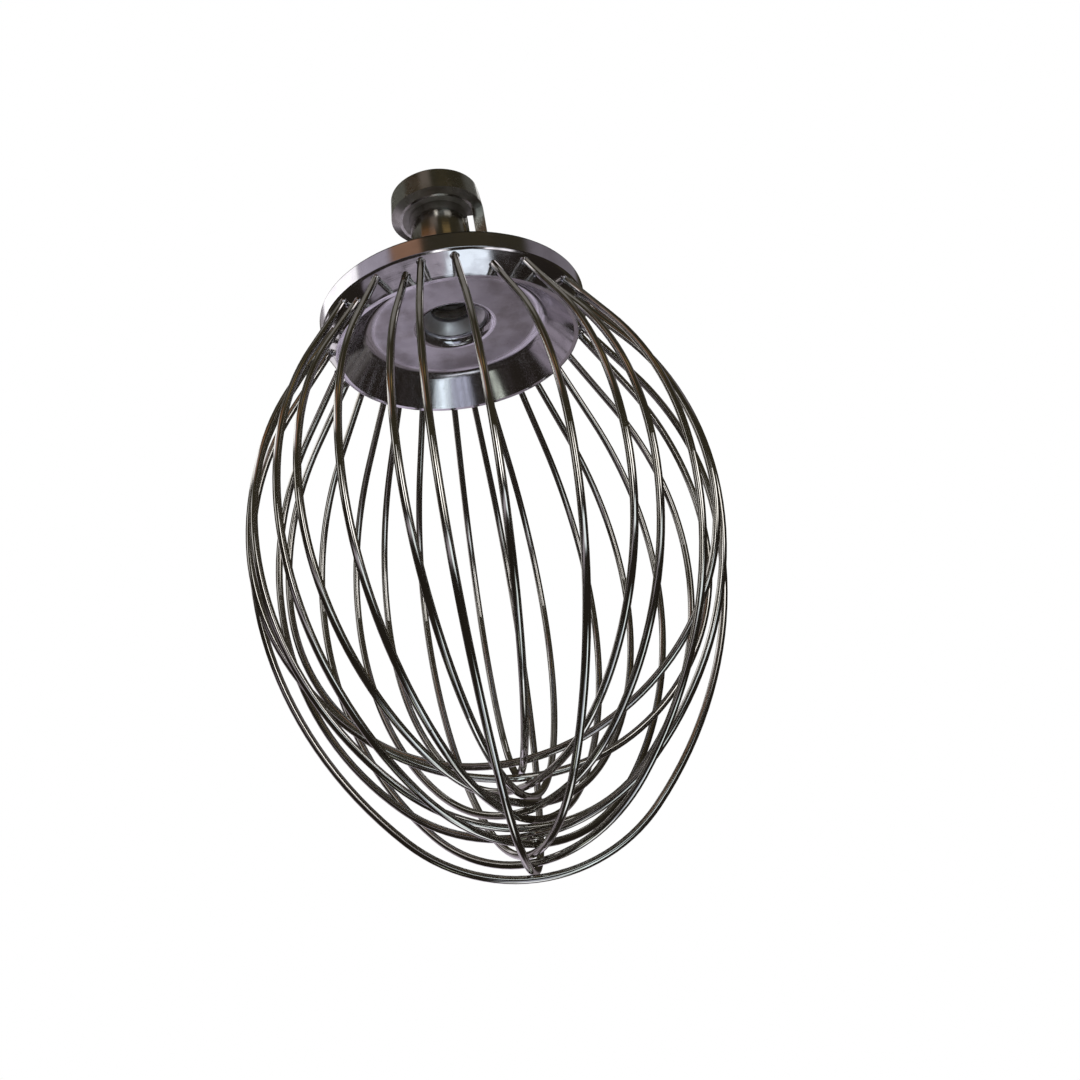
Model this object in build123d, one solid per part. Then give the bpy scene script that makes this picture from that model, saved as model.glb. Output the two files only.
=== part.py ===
from build123d import *
import math
import os

# Stand mixer wire whisk: a bayonet hub on a cupped plate that holds fifteen closed wire loops.
# Millimetres, +Z up, origin at the middle of the mouth of the drive bore, loops hanging down.

# Wire plate, a turned cup that opens downwards
FLANGE_D = 110.0
RIM_H = 7.2
LIP_D = 100.0
LIP_W = 1.8
PLATE_H = 16.8
WEB_T = 5.5
WEB_D = 73.0
CUP_FILLET = 7.0
RIM_BREAK = 0.5

# Hub stem, turned, standing on the plate
HUB_RISE = 61.5
STEM_D = 21.0
BORE_D = 14.0
FOOT_D = 42.0
FOOT_H = 14.0
FOOT_FILLET = 4.0
POCKET_D = 26.0
POCKET_H = 9.0
POCKET_ROUND = 4.4
SPIGOT_D = 18.0

# Bayonet collar on top of the stem
COLLAR_D = 38.0
COLLAR_H = 12.1
COLLAR_FLARE = 1.0
COLLAR_WALL = 3.8
COLLAR_TOP_T = 4.0
COLLAR_TOP_BREAK = 1.0
BEVEL_H = 1.3
BEVEL_W = 3.4
SLOT_START = 3.0
SLOT_SWEEP = 50.0
POST_SWEEP = 13.0

# Wire loops
LOOP_COUNT = 15
WIRE_D = 2.8
NEST_GAP = 0.15
CAGE_D = 181.0
CAGE_DEPTH = 232.0
BELLY_DROP = 102.7
END_RUN = 30.0
SEAT_DEPTH = 7.0
SEAT_CLEARANCE = 0.1
SEAT_DROP = 10.0
SEAT_STAGGER = 3.0
FIRST_TURN = 97.8
# place of each loop in the nest, 0 lowest, counted round from the first loop
NEST_ORDER = (13, 3, 11, 8, 2, 14, 5, 0, 12, 6, 4, 9, 7, 10, 1)
# degrees that each loop stands off even spacing, as hand-set loops do
TURN_OFFSET = (-2.5, 1.5, 2, -1.5, 0.5, 1.5, -6, 3, 0, -0.5, 2, 0, 0, 2, -2)
# how far the plane of each loop passes beside the axis
SIDE_OFFSET = (1, 1, -0.5, 1, -1.5, 0, 0.5, 1.5, -1, -1.5, 0, -2.5, -1.5, -2.5, -3)

# Heights that follow from the sizes
PLATE_TOP = -HUB_RISE
PLATE_LIP = PLATE_TOP - PLATE_H
WEB_Z = PLATE_TOP - WEB_T
SHOULDER_TOP = PLATE_TOP - RIM_H
FOOT_TOP = PLATE_TOP + FOOT_H
COLLAR_SEAT = -COLLAR_TOP_T
COLLAR_LOW = -COLLAR_H
NEST_PITCH = WIRE_D + NEST_GAP
BELLY_R = CAGE_D / 2 - WIRE_D / 2
BELLY_Z = PLATE_TOP - BELLY_DROP
SEAT_D = WIRE_D + SEAT_CLEARANCE


def turned(points):
    """A solid turned about Z from an outline of (radius, height) points."""
    outline = Polyline(*[(r, 0, z) for r, z in points], close=True)
    return revolve(make_face(outline), Axis.Z)


def rim_edges(solid, radius, height):
    """The whole circles of one radius at one height."""
    rings = []
    for edge in solid.edges().filter_by(GeomType.CIRCLE):
        same_r = abs(edge.radius - radius) < 1e-3
        same_z = abs(edge.center().Z - height) < 1e-3
        if same_r and same_z:
            rings.append(edge)
    return rings


def shoulder_radius(z):
    """Radius of the plate's sloping shoulder at a height."""
    run = (FLANGE_D - LIP_D) / 2
    return LIP_D / 2 + run * (z - PLATE_LIP) / (SHOULDER_TOP - PLATE_LIP)


def loop_line(index):
    """Key points of the right half of a loop's centre line, from the axis up to the seat."""
    depth = CAGE_DEPTH - WIRE_D / 2 - NEST_PITCH * NEST_ORDER[index]
    low_z = PLATE_TOP - depth
    drop = BELLY_Z - low_z
    end_r = BELLY_R ** 2 / drop
    side_r = drop * (drop + BELLY_R) / (2 * BELLY_R)
    # the bottom arc and the side arc share this direction where they meet
    away = (drop * (drop + 2 * BELLY_R), -2 * BELLY_R * (BELLY_R + drop))
    size = math.hypot(*away)
    away = (away[0] / size, away[1] / size)
    meet = (end_r * away[0], low_z + end_r + end_r * away[1])
    turn = math.atan2(away[0], -away[1])
    low_mid = (end_r * math.sin(turn / 2), low_z + end_r - end_r * math.cos(turn / 2))
    half = (math.pi / 2 - turn) / 2
    side_mid = (BELLY_R - side_r + side_r * math.cos(half), BELLY_Z - side_r * math.sin(half))
    # the shoulder arc runs on into a straight end that passes through the seat
    hole_z = PLATE_TOP - SEAT_DROP - SEAT_STAGGER * (index % 2)
    hole_r = math.sqrt(shoulder_radius(hole_z) ** 2 - SIDE_OFFSET[index] ** 2)
    step_in = BELLY_R - hole_r
    rise = hole_z - BELLY_Z
    bend_r = (step_in ** 2 + rise ** 2 - END_RUN ** 2) / (2 * step_in)
    bend_x = BELLY_R - bend_r
    lean = math.atan2(rise, hole_r - bend_x) - math.atan2(END_RUN, bend_r)
    top = (bend_x + bend_r * math.cos(lean), BELLY_Z + bend_r * math.sin(lean))
    top_mid = (bend_x + bend_r * math.cos(lean / 2), BELLY_Z + bend_r * math.sin(lean / 2))
    inward = (-math.sin(lean), math.cos(lean))
    end = (hole_r + SEAT_DEPTH * inward[0], hole_z + SEAT_DEPTH * inward[1])
    return {
        "low": (0, low_z),
        "low_mid": low_mid,
        "meet": meet,
        "side_mid": side_mid,
        "belly": (BELLY_R, BELLY_Z),
        "top_mid": top_mid,
        "top": top,
        "end": end,
        "inward": inward,
    }


def seat_cutter(index, side):
    """The drill that makes one seat, side 1 or -1 of the axis."""
    line = loop_line(index)
    floor = (side * line["end"][0], SIDE_OFFSET[index], line["end"][1])
    out = (-side * line["inward"][0], 0, -line["inward"][1])
    drill = extrude(Plane(origin=floor, z_dir=out) * Circle(SEAT_D / 2), 3 * SEAT_DEPTH)
    return drill.rotate(Axis.Z, loop_turn(index))


def loop_turn(index):
    return FIRST_TURN + index * 180.0 / LOOP_COUNT + TURN_OFFSET[index]


def make_wire_plate():
    plate = turned(
        [
            (POCKET_D / 2, PLATE_TOP),
            (FLANGE_D / 2, PLATE_TOP),
            (FLANGE_D / 2, SHOULDER_TOP),
            (LIP_D / 2, PLATE_LIP),
            (LIP_D / 2 - LIP_W, PLATE_LIP),
            (WEB_D / 2, WEB_Z),
            (POCKET_D / 2, WEB_Z),
        ]
    )
    plate = fillet(rim_edges(plate, WEB_D / 2, WEB_Z), CUP_FILLET)
    plate = fillet(rim_edges(plate, POCKET_D / 2, WEB_Z), POCKET_ROUND)
    plate = chamfer(rim_edges(plate, FLANGE_D / 2, PLATE_TOP), RIM_BREAK)
    for index in range(LOOP_COUNT):
        for side in (1, -1):
            plate -= seat_cutter(index, side)
    return plate


def make_hub_stem():
    stem = turned(
        [
            (POCKET_D / 2, PLATE_TOP),
            (FOOT_D / 2, PLATE_TOP),
            (FOOT_D / 2, FOOT_TOP),
            (STEM_D / 2, FOOT_TOP),
            (STEM_D / 2, COLLAR_SEAT),
            (SPIGOT_D / 2, COLLAR_SEAT),
            (SPIGOT_D / 2, 0),
            (BORE_D / 2, 0),
            (BORE_D / 2, PLATE_TOP + POCKET_H),
            (POCKET_D / 2, PLATE_TOP + POCKET_H),
        ]
    )
    return fillet(rim_edges(stem, STEM_D / 2, FOOT_TOP), FOOT_FILLET)


def make_bayonet_collar():
    outer = COLLAR_D / 2
    inner = outer - COLLAR_WALL
    flared = outer + COLLAR_FLARE
    bevel_top = COLLAR_LOW + BEVEL_H
    collar = turned(
        [
            (SPIGOT_D / 2, 0),
            (outer, 0),
            (flared, bevel_top),
            (flared - BEVEL_W, COLLAR_LOW),
            (inner, COLLAR_LOW),
            (inner, COLLAR_SEAT),
            (SPIGOT_D / 2, COLLAR_SEAT),
        ]
    )
    collar = chamfer(rim_edges(collar, outer, 0), COLLAR_TOP_BREAK)
    slot = sector(STEM_D / 2, 2 * outer, COLLAR_LOW - 1, 1, SLOT_START, SLOT_SWEEP)
    post = sector(inner, flared, FOOT_TOP, bevel_top, SLOT_START - POST_SWEEP, POST_SWEEP)
    return collar - slot + post


def sector(r_in, r_out, z_low, z_high, start, sweep):
    """A piece of a ring between two heights, from a start angle round by a sweep in degrees."""
    low = [(r_in, 0, z_low), (r_out, 0, z_low)]
    high = [(r_out, 0, z_high), (r_in, 0, z_high)]
    outline = Polyline(*low, *high, close=True)
    return revolve(make_face(outline), Axis.Z, sweep).rotate(Axis.Z, start)


def make_wire_loop(index):
    line = loop_line(index)

    def at(name, side):
        r, z = line[name]
        return (side * r, SIDE_OFFSET[index], z)

    right = [
        ThreePointArc(at("meet", 1), at("side_mid", 1), at("belly", 1)),
        ThreePointArc(at("belly", 1), at("top_mid", 1), at("top", 1)),
        Line(at("top", 1), at("end", 1)),
    ]
    left = [
        Line(at("end", -1), at("top", -1)),
        ThreePointArc(at("top", -1), at("top_mid", -1), at("belly", -1)),
        ThreePointArc(at("belly", -1), at("side_mid", -1), at("meet", -1)),
    ]
    bottom = [ThreePointArc(at("meet", -1), at("low", 1), at("meet", 1))]
    path = Wire(left + bottom + right)
    outwards = (line["inward"][0], 0, -line["inward"][1])
    section = Plane(origin=at("end", -1), z_dir=outwards) * Circle(WIRE_D / 2)
    return sweep(section, path=path).rotate(Axis.Z, loop_turn(index))


os.makedirs("parts", exist_ok=True)
export_step(make_wire_plate(), "parts/wire_plate.step")
export_step(make_hub_stem(), "parts/hub_stem.step")
export_step(make_bayonet_collar(), "parts/bayonet_collar.step")
for number in range(LOOP_COUNT):
    export_step(make_wire_loop(number), f"parts/wire_loop_{number + 1:02d}.step")
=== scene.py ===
import bmesh
import bpy
import math
from mathutils import Matrix, Vector


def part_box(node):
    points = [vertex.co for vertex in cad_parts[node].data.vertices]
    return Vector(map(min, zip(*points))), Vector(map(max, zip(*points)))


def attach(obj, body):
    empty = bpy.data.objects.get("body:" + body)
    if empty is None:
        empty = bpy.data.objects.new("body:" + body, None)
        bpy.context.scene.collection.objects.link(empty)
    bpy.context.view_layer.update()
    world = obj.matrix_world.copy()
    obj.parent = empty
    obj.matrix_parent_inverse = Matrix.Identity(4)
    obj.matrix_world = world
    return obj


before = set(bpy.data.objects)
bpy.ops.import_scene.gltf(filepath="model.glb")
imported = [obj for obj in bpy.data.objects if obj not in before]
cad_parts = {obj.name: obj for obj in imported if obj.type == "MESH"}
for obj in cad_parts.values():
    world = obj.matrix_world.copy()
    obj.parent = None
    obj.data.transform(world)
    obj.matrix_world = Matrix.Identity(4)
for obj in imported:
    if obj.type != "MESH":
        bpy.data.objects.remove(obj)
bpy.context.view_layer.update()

# Stand mixer wire whisk: steel finishes, brazed wire roots, rings on the hub, studio and camera.
# Metres, in the frame of the solids.

scene = bpy.context.scene
scene.view_settings.view_transform = "Standard"

# Places read from the solids
PLATE_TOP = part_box("wire_plate")[1].z
FLANGE_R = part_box("wire_plate")[1].x
COLLAR_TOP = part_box("bayonet_collar")[1].z

# Sizes that are the same as those of the solids
RIM_H = 0.0072
WEB_T = 0.0055
WEB_R = 0.0365
LIP_R = 0.050
POCKET_MOUTH_R = 0.0174
STEM_R = 0.0105
SPIGOT_R = 0.0090
COLLAR_H = 0.0121
COLLAR_BORED_R = 0.0152
SLOT_START = math.radians(3.0)
SLOT_SWEEP = math.radians(50.0)
WIRE_R = 0.0014
SEAT_DEPTH = 0.007

# Sizes of the rings on the hub
EDGE_BREAK = 0.0002
RING_T = 0.0024
BUSH_R = 0.0126
BUSH_RISE = 0.0145
CONE_IN_R = 0.0090
CONE_OUT_R = 0.01305
CONE_DROP = 0.0017
CONE_WALL = 0.0020
CONE_RISE = 0.0040

# Heights that follow from the sizes
SHOULDER_TOP = PLATE_TOP - RIM_H
WEB_Z = PLATE_TOP - WEB_T
RING_LOW = COLLAR_TOP - COLLAR_H
BUSH_LOW = PLATE_TOP + BUSH_RISE
CONE_LOW = PLATE_TOP - CONE_DROP

# Node helpers


def new_material(name, metallic=1.0):
    mat = bpy.data.materials.new(name)
    mat.use_nodes = True
    shader = mat.node_tree.nodes["Principled BSDF"]
    shader.inputs["Metallic"].default_value = metallic
    return mat, mat.node_tree, shader


def add(tree, kind, **settings):
    node = tree.nodes.new(kind)
    for key, value in settings.items():
        setattr(node, key, value)
    return node


def feed(tree, socket, value):
    """Links another socket to this one, or sets it to a number or a colour."""
    if isinstance(value, bpy.types.NodeSocket):
        tree.links.new(value, socket)
    elif isinstance(value, tuple):
        socket.default_value = (*value, 1.0)
    else:
        socket.default_value = value


def object_place(tree):
    return add(tree, "ShaderNodeTexCoord").outputs["Object"]


def split_place(tree, place):
    """The x, y and z of a place."""
    split = add(tree, "ShaderNodeSeparateXYZ")
    feed(tree, split.inputs[0], place)
    return tuple(split.outputs)


def math_node(tree, operation, *values):
    node = add(tree, "ShaderNodeMath", operation=operation)
    for socket, value in zip(node.inputs, values):
        feed(tree, socket, value)
    return node.outputs[0]


def total(tree, first, *others):
    for other in others:
        first = math_node(tree, "ADD", first, other)
    return first


def product(tree, first, *others):
    for other in others:
        first = math_node(tree, "MULTIPLY", first, other)
    return first


def opposite(tree, mask):
    return math_node(tree, "SUBTRACT", 1.0, mask)


def soft_step(tree, value, fade):
    """0 below the start of a fade, 1 above its end, smooth between."""
    node = add(tree, "ShaderNodeMapRange", interpolation_type="SMOOTHSTEP")
    feed(tree, node.inputs["Value"], value)
    node.inputs["From Min"].default_value = fade[0]
    node.inputs["From Max"].default_value = fade[1]
    return node.outputs["Result"]


def noise(tree, place, **settings):
    node = add(tree, "ShaderNodeTexNoise")
    feed(tree, node.inputs["Vector"], place)
    for label, value in settings.items():
        feed(tree, node.inputs[label], value)
    return node.outputs[0]


def blend_colour(tree, mask, first, second):
    """The first colour where the mask is 0, the second where it is 1."""
    node = add(tree, "ShaderNodeMix", data_type="RGBA")
    # a colour mix has its factor at input 0 and its two colours at 6 and 7
    feed(tree, node.inputs[0], mask)
    feed(tree, node.inputs[6], first)
    feed(tree, node.inputs[7], second)
    return node.outputs[2]


def bumps(tree, shader, height, strength, distance):
    node = add(tree, "ShaderNodeBump")
    node.inputs["Strength"].default_value = strength
    node.inputs["Distance"].default_value = distance
    feed(tree, node.inputs["Height"], height)
    feed(tree, shader.inputs["Normal"], node.outputs[0])


def new_group(name, numbers_in, numbers_out):
    """A node group that takes a place and some numbers and puts out others."""
    group = bpy.data.node_groups.new(name, "ShaderNodeTree")
    group.interface.new_socket("Place", in_out="INPUT", socket_type="NodeSocketVector")
    for label in numbers_in:
        group.interface.new_socket(label, in_out="INPUT", socket_type="NodeSocketFloat")
    for label in numbers_out:
        group.interface.new_socket(label, in_out="OUTPUT", socket_type="NodeSocketFloat")
    return group, add(group, "NodeGroupInput").outputs, add(group, "NodeGroupOutput").inputs


def use_group(tree, group, place, **settings):
    """Places a group in a material and gives its outputs."""
    node = add(tree, "ShaderNodeGroup", node_tree=group)
    feed(tree, node.inputs["Place"], place)
    for label, value in settings.items():
        feed(tree, node.inputs[label.replace("_", " ")], value)
    return node.outputs


# Shared effects

RING_WANDER = 0.6
SMEAR_FADE = (0.35, 0.72)
SPECK_FADE = (0.05, 0.16)
SPECK_AREA_SCALE = 95.0
SPECK_AREA_FADE = (0.56, 0.66)


def make_turned_marks():
    """Fine rings that a lathe leaves round the Z axis, by radius and height."""
    group, ins, outs = new_group("turned_marks", ["Rings"], ["Mark", "Radius", "Height"])
    x, y, z = split_place(group, ins["Place"])
    radius = math_node(group, "SQRT", total(group, product(group, x, x), product(group, y, y)))
    wander = product(group, math_node(group, "SINE", math_node(group, "ARCTAN2", y, x)), RING_WANDER)
    ring = add(group, "ShaderNodeCombineXYZ")
    feed(group, ring.inputs[0], product(group, radius, ins["Rings"]))
    feed(group, ring.inputs[1], product(group, z, ins["Rings"]))
    feed(group, ring.inputs[2], wander)
    feed(group, outs["Mark"], noise(group, ring.outputs[0], Scale=1.0, Detail=3.0))
    feed(group, outs["Radius"], radius)
    feed(group, outs["Height"], z)
    return group


def make_kitchen_wear():
    """Soft smears from washing and a few dark specks."""
    group, ins, outs = new_group("kitchen_wear", ["Smear Scale", "Speck Scale"], ["Smear", "Speck"])
    smear = noise(group, ins["Place"], Scale=ins["Smear Scale"], Detail=4.0, Distortion=0.8)
    feed(group, outs["Smear"], soft_step(group, smear, SMEAR_FADE))
    dots = add(group, "ShaderNodeTexVoronoi", feature="F1")
    feed(group, dots.inputs["Vector"], ins["Place"])
    feed(group, dots.inputs["Scale"], ins["Speck Scale"])
    dot = opposite(group, soft_step(group, dots.outputs["Distance"], SPECK_FADE))
    area = soft_step(group, noise(group, ins["Place"], Scale=SPECK_AREA_SCALE), SPECK_AREA_FADE)
    feed(group, outs["Speck"], product(group, dot, area))
    return group


TURNED_MARKS = make_turned_marks()
KITCHEN_WEAR = make_kitchen_wear()

# Wire finish

WIRE_CLEAN = (0.58, 0.56, 0.53)
WIRE_FILM = (0.46, 0.435, 0.39)
WIRE_SPECK = (0.12, 0.10, 0.08)
WIRE_ROUGH = 0.07
WIRE_SMEAR_ROUGH = 0.07


def finish_wire():
    """Polished drawn wire with a thin brown film."""
    mat, tree, shader = new_material("drawn_wire")
    wear = use_group(tree, KITCHEN_WEAR, object_place(tree), Smear_Scale=70.0, Speck_Scale=300.0)
    colour = blend_colour(tree, wear["Smear"], WIRE_CLEAN, WIRE_FILM)
    colour = blend_colour(tree, wear["Speck"], colour, WIRE_SPECK)
    feed(tree, shader.inputs["Base Color"], colour)
    rough = total(tree, product(tree, wear["Smear"], WIRE_SMEAR_ROUGH), WIRE_ROUGH)
    feed(tree, shader.inputs["Roughness"], rough)
    return mat


# Plate finish

PLATE_CLEAN = (0.62, 0.60, 0.63)
PLATE_FILM = (0.54, 0.515, 0.55)
PLATE_SPECK = (0.16, 0.14, 0.15)
PLATE_SPECK_SHARE = 0.7
WATER_STAIN = (0.34, 0.31, 0.31)
WATER_STAIN_SHARE = 0.75
WATER_STAIN_FADE = (0.44, 0.64)
RIM_DIRT = (0.07, 0.06, 0.05)
PLATE_ROUGH = 0.07
PLATE_SMEAR_ROUGH = 0.07
PLATE_MARK_ROUGH = 0.06
WEB_ROUGH = 0.27
DENT_HEIGHT = 0.35
PLATE_MARK_HEIGHT = 0.015

# radii and heights between which one finish of the plate fades into the next
CUP_FILLET_FADE = (WEB_R - 0.005, WEB_R - 0.001)
WEB_LEVEL_FADE = (WEB_Z - 0.0015, WEB_Z - 0.0004)
POCKET_MOUTH_FADE = (POCKET_MOUTH_R - 0.0008, POCKET_MOUTH_R + 0.0004)
RIM_TOP_FADE = (PLATE_TOP - 0.0010, PLATE_TOP - 0.0005)
RIM_EDGE_FADE = (FLANGE_R - 0.0015, FLANGE_R - 0.0010)
LIP_FADE = (LIP_R - 0.0008, LIP_R + 0.0006)
SHOULDER_TOP_FADE = (SHOULDER_TOP - 0.0012, SHOULDER_TOP)


def finish_plate():
    """Turned plate: satin web, polished cup wall, rim and shoulder."""
    mat, tree, shader = new_material("turned_plate")
    place = object_place(tree)
    marks = use_group(tree, TURNED_MARKS, place, Rings=2600.0)
    wear = use_group(tree, KITCHEN_WEAR, place, Smear_Scale=75.0, Speck_Scale=420.0)
    inside_cup = opposite(tree, soft_step(tree, marks["Radius"], CUP_FILLET_FADE))
    on_level = soft_step(tree, marks["Height"], WEB_LEVEL_FADE)
    outside_pocket = soft_step(tree, marks["Radius"], POCKET_MOUTH_FADE)
    web = product(tree, inside_cup, on_level, outside_pocket)
    colour = blend_colour(tree, wear["Smear"], PLATE_CLEAN, PLATE_FILM)
    colour = blend_colour(tree, product(tree, wear["Speck"], PLATE_SPECK_SHARE), colour, PLATE_SPECK)
    # old water stains on the web
    stain = soft_step(tree, noise(tree, place, Scale=42.0, Detail=6.0, Roughness=0.62), WATER_STAIN_FADE)
    colour = blend_colour(tree, product(tree, stain, web, WATER_STAIN_SHARE), colour, WATER_STAIN)
    # dirt along the top edge of the rim
    near_top = soft_step(tree, marks["Height"], RIM_TOP_FADE)
    near_edge = soft_step(tree, marks["Radius"], RIM_EDGE_FADE)
    colour = blend_colour(tree, product(tree, near_top, near_edge), colour, RIM_DIRT)
    feed(tree, shader.inputs["Base Color"], colour)
    satin = product(tree, web, WEB_ROUGH)
    smear = product(tree, wear["Smear"], PLATE_SMEAR_ROUGH)
    grain = product(tree, marks["Mark"], PLATE_MARK_ROUGH)
    feed(tree, shader.inputs["Roughness"], total(tree, satin, smear, grain, PLATE_ROUGH))
    # the shoulder is hammered a little round the wire roots
    outside_lip = soft_step(tree, marks["Radius"], LIP_FADE)
    below_rim = opposite(tree, soft_step(tree, marks["Height"], SHOULDER_TOP_FADE))
    dents = noise(tree, place, Scale=150.0, Detail=1.0)
    hammered = product(tree, dents, outside_lip, below_rim, DENT_HEIGHT)
    height = total(tree, hammered, product(tree, marks["Mark"], PLATE_MARK_HEIGHT))
    bumps(tree, shader, height, strength=0.5, distance=0.001)
    return mat


# Hub finishes

HUB_SPECK = (0.10, 0.09, 0.08)
HUB_SPECK_SHARE = 0.8
HUB_MARK_ROUGH = 0.05
BORED_ROUGH = 0.35


def finish_turned(name, clean, film, rough, smear_rough, bored):
    """Turned and polished steel for the hub, left satin inside its bored radius, 0 for none."""
    mat, tree, shader = new_material(name)
    place = object_place(tree)
    marks = use_group(tree, TURNED_MARKS, place, Rings=3000.0)
    wear = use_group(tree, KITCHEN_WEAR, place, Smear_Scale=110.0, Speck_Scale=380.0)
    colour = blend_colour(tree, wear["Smear"], clean, film)
    colour = blend_colour(tree, product(tree, wear["Speck"], HUB_SPECK_SHARE), colour, HUB_SPECK)
    feed(tree, shader.inputs["Base Color"], colour)
    bored_fade = (bored - 0.0001, bored + 0.0003)
    inside = opposite(tree, soft_step(tree, marks["Radius"], bored_fade))
    smear = product(tree, wear["Smear"], smear_rough)
    grain = product(tree, marks["Mark"], HUB_MARK_ROUGH)
    satin = product(tree, inside, BORED_ROUGH)
    feed(tree, shader.inputs["Roughness"], total(tree, smear, grain, satin, rough))
    bumps(tree, shader, marks["Mark"], strength=0.06, distance=0.0004)
    return mat


WIRE = finish_wire()
PLATE = finish_plate()
STEM = finish_turned(
    "turned_stem",
    clean=(0.58, 0.56, 0.54),
    film=(0.47, 0.44, 0.40),
    rough=0.09,
    smear_rough=0.08,
    bored=SPIGOT_R,
)
COLLAR = finish_turned(
    "worn_collar",
    clean=(0.52, 0.51, 0.48),
    film=(0.40, 0.39, 0.35),
    rough=0.16,
    smear_rough=0.14,
    bored=COLLAR_BORED_R,
)
# the cone's steel is given a much lighter colour than the plate and stem: painted brightness for the
# light that it mirrors from below
PAINTED_BRIGHT_CONE = finish_turned(
    "scoured_cone_painted_bright",
    clean=(0.88, 0.87, 0.88),
    film=(0.76, 0.75, 0.77),
    rough=0.36,
    smear_rough=0.10,
    bored=0.0,
)

# every node but these three is a wire loop
TURNED_FINISH = {"wire_plate": PLATE, "hub_stem": STEM, "bayonet_collar": COLLAR}
for name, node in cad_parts.items():
    for slot in node.material_slots:
        slot.material = TURNED_FINISH.get(name, WIRE)

# Brazed roots of the wires

# leans of the wire ends and of the beads' feet, close to those of the seats and the shoulder
END_LEAN = math.radians(32.4)
FOOT_LEAN = math.radians(30.0)
BEAD_POINTS = 20
BEAD_FIT = 1.01
BEAD_TOP = 0.0015
# rise, widening and share of the foot's lean from each ring of a bead to the next, top ring first
BEAD_RINGS = (
    (-0.0006, 1.08, 0.0),
    (-0.0004, 1.13, 0.4),
    (-0.0003, 1.15, 0.6),
    (-0.0006, 1.02, 0.0),
    (0.0, 0.69, 0.0),
)
# end faces of a loop lie no further than this below its highest point
END_FACE_H = 0.004


def model_root_bead():
    """One brazed ring about a wire that stands up along +Z, flaring on to the sloping shoulder."""
    bpy.ops.object.select_all(action="DESELECT")
    bpy.ops.mesh.primitive_circle_add(vertices=BEAD_POINTS, radius=WIRE_R * BEAD_FIT, location=(0, 0, 0))
    bead = bpy.context.object
    bpy.ops.object.mode_set(mode="EDIT")
    bpy.ops.mesh.select_all(action="SELECT")
    bpy.ops.transform.translate(value=(0, 0, BEAD_TOP))
    for rise, spread, share in BEAD_RINGS:
        bpy.ops.mesh.extrude_edges_move(TRANSFORM_OT_translate={"value": (0, 0, rise)})
        bpy.ops.transform.resize(value=(spread, spread, 1.0))
        if share:
            lean = share * FOOT_LEAN
            bpy.ops.transform.rotate(value=lean, orient_axis="X", center_override=(0, 0, 0))
    # the inside wall joins the last ring to the first
    bpy.ops.mesh.select_all(action="DESELECT")
    bpy.ops.mesh.select_non_manifold()
    bpy.ops.mesh.bridge_edge_loops()
    bpy.ops.mesh.select_all(action="SELECT")
    bpy.ops.mesh.normals_make_consistent(inside=False)
    bpy.ops.object.mode_set(mode="OBJECT")
    round_off = bead.modifiers.new("round_off", "SUBSURF")
    round_off.levels = 1
    round_off.render_levels = 1
    bpy.ops.object.modifier_apply(modifier=round_off.name)
    bpy.ops.object.shade_smooth()
    return bead


def loop_ends(node):
    """The middles of a loop's two end faces, its highest rings of points."""
    points = [node.matrix_world @ vert.co for vert in node.data.vertices]
    top = max(point.z for point in points)
    rings = [point for point in points if point.z > top - END_FACE_H]
    first = [point for point in rings if point.xy.dot(rings[0].xy) > 0]
    second = [point for point in rings if point.xy.dot(rings[0].xy) <= 0]
    return [sum(ring, Vector()) / len(ring) for ring in (first, second)]


def braze_roots():
    """A bead at each end of each loop, where the wire enters the plate's shoulder."""
    master = model_root_bead()
    beads = []
    for name, node in sorted(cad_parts.items()):
        if not name.startswith("wire_loop"):
            continue
        ends = loop_ends(node)
        for here, there in (ends, ends[::-1]):
            outwards = (here - there).normalized()
            along = outwards * math.sin(END_LEAN) - Vector((0, 0, math.cos(END_LEAN)))
            side = along.cross(outwards).normalized()
            turned = Matrix((side, along.cross(side), along)).transposed().to_4x4()
            bead = master.copy()
            bead.data = master.data.copy()
            scene.collection.objects.link(bead)
            bead.matrix_world = Matrix.Translation(here + along * SEAT_DEPTH) @ turned
            beads.append(bead)
    bpy.data.objects.remove(master)
    bpy.ops.object.select_all(action="DESELECT")
    for bead in beads:
        bead.select_set(True)
    bpy.context.view_layer.objects.active = beads[0]
    bpy.ops.object.transform_apply(location=True, rotation=True, scale=True)
    bpy.ops.object.join()
    roots = bpy.context.object
    roots.name = "wire_root_beads"
    roots.data.materials.append(PLATE)
    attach(roots, "root")


braze_roots()

# Turned rings that fill out the hub

TURN_STEPS = 96
SMOOTH_BELOW = math.radians(35)
SAME_POINT = 1e-6


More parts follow.
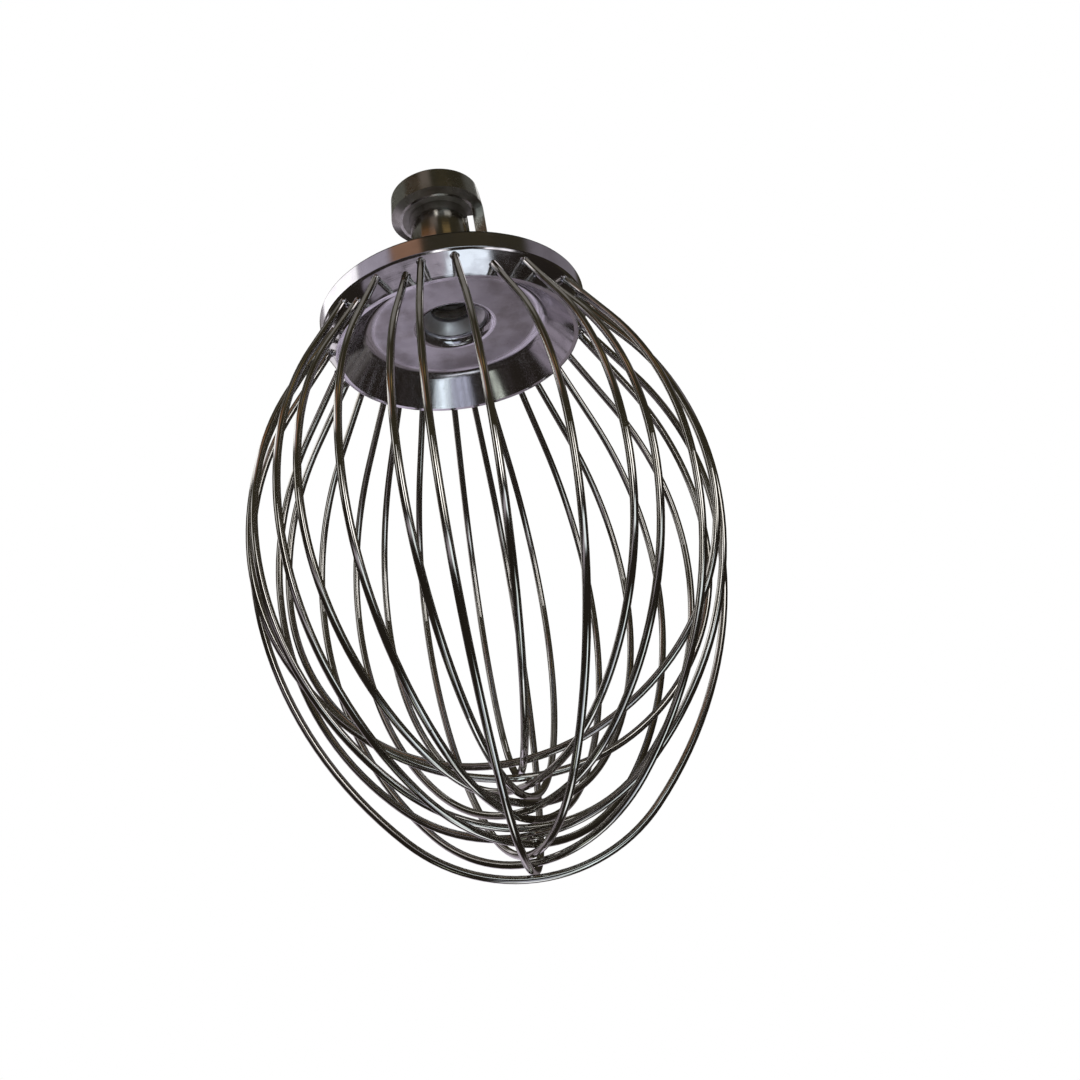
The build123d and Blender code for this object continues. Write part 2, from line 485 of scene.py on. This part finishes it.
def turn_ring(name, finish, radii, heights, rise=0.0, open_from=0.0, open_sweep=0.0):
    """A ring turned about Z, with softened edges. Its inside may rise, and a sector may stay open."""
    inner, outer = radii
    low, high = heights
    bpy.ops.object.select_all(action="DESELECT")
    bpy.ops.mesh.primitive_plane_add(size=1.0, location=(0, 0, 0), rotation=(math.pi / 2, 0, 0))
    ring = bpy.context.object
    bpy.ops.object.mode_set(mode="EDIT")
    bpy.ops.mesh.select_all(action="SELECT")
    bpy.ops.transform.resize(value=(outer - inner, 1.0, high - low))
    outline = bmesh.from_edit_mesh(ring.data)
    for vert in outline.verts:
        vert.select = vert.co.x < 0
    outline.select_flush_mode()
    bmesh.update_edit_mesh(ring.data)
    bpy.ops.transform.translate(value=(0, 0, rise))
    bpy.ops.mesh.select_all(action="SELECT")
    bpy.ops.transform.translate(value=((inner + outer) / 2, 0, (low + high) / 2))
    bpy.ops.mesh.bevel(offset=EDGE_BREAK, segments=2, affect="VERTICES")
    # rotate turns the other way when Blender has no window
    bpy.ops.transform.rotate(value=-open_from, orient_axis="Z", center_override=(0, 0, 0))
    # a whole ring needs no end faces
    if not open_sweep:
        bpy.ops.mesh.delete(type="ONLY_FACE")
        bpy.ops.mesh.select_all(action="SELECT")
    # spin goes round clockwise seen from above
    sweep = 2 * math.pi - open_sweep
    bpy.ops.mesh.spin(steps=TURN_STEPS, angle=sweep, center=(0, 0, 0), axis=(0, 0, 1))
    bpy.ops.mesh.select_all(action="SELECT")
    bpy.ops.mesh.remove_doubles(threshold=SAME_POINT)
    bpy.ops.mesh.normals_make_consistent(inside=False)
    bpy.ops.object.mode_set(mode="OBJECT")
    bpy.ops.object.transform_apply(location=True, rotation=True, scale=True)
    bpy.ops.object.shade_smooth_by_angle(angle=SMOOTH_BELOW)
    ring.name = name
    ring.data.materials.append(finish)
    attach(ring, "root")


# closes the underside of the collar round the stem, except at its slot
turn_ring(
    "collar_ring",
    COLLAR,
    radii=(STEM_R, COLLAR_BORED_R),
    heights=(RING_LOW, RING_LOW + RING_T),
    open_from=SLOT_START,
    open_sweep=SLOT_SWEEP,
)
# bush on the stem, from the fillet of its foot up to the ring
turn_ring(
    "stem_bush",
    STEM,
    radii=(STEM_R, BUSH_R),
    heights=(BUSH_LOW, RING_LOW),
)
# cone inside the mouth of the pocket, bright partly from the light it mirrors and partly from brightness
# painted into its lighter colour
turn_ring(
    "pocket_cone",
    PAINTED_BRIGHT_CONE,
    radii=(CONE_IN_R, CONE_OUT_R),
    heights=(CONE_LOW, CONE_LOW + CONE_WALL),
    rise=CONE_RISE,
)

# Floor

FLOOR_Z = -0.72
FLOOR_SIZE = 5.0
FLOOR_ROUGH = 0.8
FLOOR_DULL = (0.80, 0.80, 0.80)
FLOOR_CLEAN = (0.84, 0.84, 0.84)


def pale_floor():
    bpy.ops.object.select_all(action="DESELECT")
    bpy.ops.mesh.primitive_plane_add(size=FLOOR_SIZE, location=(0, 0, FLOOR_Z))
    floor = bpy.context.object
    floor.name = "floor"
    mat, tree, shader = new_material("pale_floor", metallic=0.0)
    shader.inputs["Roughness"].default_value = FLOOR_ROUGH
    cloud = noise(tree, object_place(tree), Scale=3.0)
    feed(tree, shader.inputs["Base Color"], blend_colour(tree, cloud, FLOOR_DULL, FLOOR_CLEAN))
    floor.data.materials.append(mat)


# Reflection tent

TENT_R = 0.60
TENT_AT = (0.0, 0.0, -0.07)
TENT_SEGMENTS = 48
TENT_RINGS = 24
ROOM = (0.042, 0.037, 0.023)

# Soft panels that the metal mirrors, each one laid over those before it: the turns from +Y towards +X
# and the heights that it lies between, the half width of its soft edge, all in degrees, and its light
PANELS = [
    # darker below the level of the plate
    ((-190, 190), (-92, 6), 4, (0.023, 0.019, 0.015)),
    # soft light overhead, for the top of the plate and the collar
    ((-190, 190), (68, 95), 5, (0.26, 0.25, 0.24)),
    # straight below, for the pocket and the lowest wires
    ((-190, 190), (-98, -80), 4, (1.60, 1.70, 1.80)),
    # low in front: a bright window on the right, dimmer light on the left
    ((145, 180), (-22, -12), 2, (1.30, 1.46, 1.55)),
    ((131, 157), (-76, -44), 3, (1.40, 1.62, 1.70)),
    ((156, 191), (-80, -55), 5, (0.62, 0.66, 0.80)),
    ((-134, -124), (-66, -57), 2, (0.90, 1.00, 0.85)),
    ((-180, -146), (-20, -14), 2, (0.52, 0.48, 0.54)),
    ((-146, -130), (-17, -12), 2, (0.46, 0.42, 0.48)),
    ((-130, -114), (-14, -9), 3, (0.34, 0.31, 0.36)),
    # band at the height that the rim mirrors
    ((-47, -27), (30, 37), 3, (0.34, 0.32, 0.33)),
    ((-163, -137), (29, 44), 3, (0.33, 0.19, 0.12)),
    ((-137, -104), (29, 37), 3, (0.50, 0.47, 0.54)),
    ((-104, -47), (28, 37), 2, (1.75, 1.75, 1.75)),
    ((42, 108), (30, 37), 6, (0.26, 0.24, 0.27)),
    # warm wall that the stem mirrors
    ((-137, -100), (39, 45), 2, (0.21, 0.10, 0.04)),
    ((138, 168), (39, 45), 3, (0.27, 0.19, 0.08)),
    # upper band that the collar mirrors
    ((-175, -145), (46, 60), 6, (0.20, 0.17, 0.15)),
    ((-102, -15), (44, 56), 2, (0.13, 0.13, 0.115)),
    ((38, 88), (44, 56), 5, (0.14, 0.14, 0.13)),
    ((6, 32), (45, 50), 1, (2.00, 2.00, 2.00)),
    # behind, for the shoulder, the cup wall and the web
    ((-70, -56), (4, 10), 2, (1.10, 1.06, 1.10)),
    ((-56, -40), (8, 15), 2, (1.10, 1.06, 1.10)),
    ((-40, -18), (15, 26), 3, (0.90, 0.87, 0.90)),
    ((-72, -31), (-40, -4), 3, (0.37, 0.33, 0.38)),
    ((26, 46), (-26, -2), 4, (0.16, 0.15, 0.14)),
    ((-34, 2), (-56, -18), 6, (0.72, 0.66, 0.79)),
    ((2, 30), (-56, -18), 6, (0.24, 0.21, 0.23)),
    # strips for the wires
    ((128, 152), (-4, 12), 3, (2.40, 2.40, 2.40)),
    ((-180, -172), (-8, 12), 4, (4.50, 4.50, 4.50)),
    ((-126, -108), (7, 24), 4, (1.20, 1.20, 1.20)),
]


def panel_mask(tree, turn, height, turns, heights, edge):
    """1 on a panel of the tent, 0 off it, soft along its edges."""
    left, right = turns
    low, high = heights
    half = (right - left) / 2
    off_middle = math_node(tree, "SUBTRACT", turn, (left + right) / 2)
    away = math_node(tree, "ABSOLUTE", math_node(tree, "WRAP", off_middle, -180.0, 180.0))
    within = opposite(tree, soft_step(tree, away, (half - edge, half + edge)))
    above = soft_step(tree, height, (low - edge, low + edge))
    below = opposite(tree, soft_step(tree, height, (high - edge, high + edge)))
    return product(tree, within, above, below)


def tent_light():
    """The dark room with its panels, as light that the tent gives off inwards."""
    mat = bpy.data.materials.new("tent_light")
    mat.use_nodes = True
    tree = mat.node_tree
    tree.nodes.clear()
    x, y, z = split_place(tree, object_place(tree))
    turn = math_node(tree, "DEGREES", math_node(tree, "ARCTAN2", x, y))
    height = math_node(tree, "DEGREES", math_node(tree, "ARCSINE", math_node(tree, "DIVIDE", z, TENT_R)))
    colour = ROOM
    for turns, heights, edge, light in PANELS:
        mask = panel_mask(tree, turn, height, turns, heights, edge)
        colour = blend_colour(tree, mask, colour, light)
    glow = add(tree, "ShaderNodeEmission")
    feed(tree, glow.inputs["Color"], colour)
    glow.inputs["Strength"].default_value = 1.0
    feed(tree, add(tree, "ShaderNodeOutputMaterial").inputs["Surface"], glow.outputs[0])
    return mat


def reflection_tent():
    """A dark tent with soft panels round the whisk, which only the metal mirrors."""
    bpy.ops.object.select_all(action="DESELECT")
    bpy.ops.mesh.primitive_uv_sphere_add(
        segments=TENT_SEGMENTS, ring_count=TENT_RINGS, radius=TENT_R, location=(0, 0, 0)
    )
    tent = bpy.context.object
    tent.name = "reflection_tent"
    bpy.ops.object.mode_set(mode="EDIT")
    bpy.ops.mesh.select_all(action="SELECT")
    bpy.ops.mesh.flip_normals()
    bpy.ops.object.mode_set(mode="OBJECT")
    tent.location = TENT_AT
    tent.visible_camera = False
    tent.visible_diffuse = False
    tent.visible_shadow = False
    tent.data.materials.append(tent_light())


# World, lamps and camera

WORLD_SEEN = 1.0
WORLD_FILL = 1.05
LAMP_AIM = Vector((0, 0, -0.15))

# the camera's place and directions, fitted to the plate and the wires of the photograph
CAMERA_AT = (0.0, -0.4223, -0.3435)
CAMERA_RIGHT = Vector((0.9868, 0.0214, -0.1602))
CAMERA_UP = Vector((0.1560, -0.3853, 0.9095))
CAMERA_AHEAD = Vector((0.0422, 0.9226, 0.3836))
SENSOR_MM = 36.0
LENS_MM = 39.83
CLIP_START = 0.01


def white_world():
    """White behind everything, also where glossy things mirror it, and the fill light of the floor."""
    world = bpy.data.worlds.new("studio")
    scene.world = world
    world.use_nodes = True
    tree = world.node_tree
    back = tree.nodes["Background"]
    back.inputs["Color"].default_value = (1.0, 1.0, 1.0, 1.0)
    path = add(tree, "ShaderNodeLightPath").outputs
    mirrored = math_node(tree, "MAXIMUM", path["Is Glossy Ray"], path["Is Transmission Ray"])
    level = add(tree, "ShaderNodeMapRange")
    feed(tree, level.inputs["Value"], math_node(tree, "MAXIMUM", path["Is Camera Ray"], mirrored))
    level.inputs["To Min"].default_value = WORLD_FILL
    level.inputs["To Max"].default_value = WORLD_SEEN
    feed(tree, back.inputs["Strength"], level.outputs["Result"])


def soft_lamp(name, at, size, watts):
    """A square softbox that points at the whisk and is not mirrored in it."""
    bpy.ops.object.light_add(type="AREA", location=at)
    lamp = bpy.context.object
    lamp.name = name
    lamp.data.shape = "SQUARE"
    lamp.data.size = size
    lamp.data.energy = watts
    lamp.rotation_euler = (LAMP_AIM - Vector(at)).to_track_quat("-Z", "Y").to_euler()
    lamp.visible_glossy = False


def photo_camera():
    """In front of the whisk and below its lowest wires, looking up, rolled so that the hub leans left."""
    bpy.ops.object.camera_add(location=CAMERA_AT)
    camera = bpy.context.object
    camera.data.sensor_width = SENSOR_MM
    camera.data.lens = LENS_MM
    camera.data.clip_start = CLIP_START
    turned = Matrix((CAMERA_RIGHT, CAMERA_UP, -CAMERA_AHEAD)).transposed()
    camera.rotation_euler = turned.to_euler()
    scene.camera = camera


pale_floor()
reflection_tent()
white_world()
soft_lamp("key_softbox", at=(-0.9, -0.7, 0.9), size=0.9, watts=9.0)
soft_lamp("fill_softbox", at=(1.1, -0.3, 0.6), size=0.9, watts=4.0)
photo_camera()
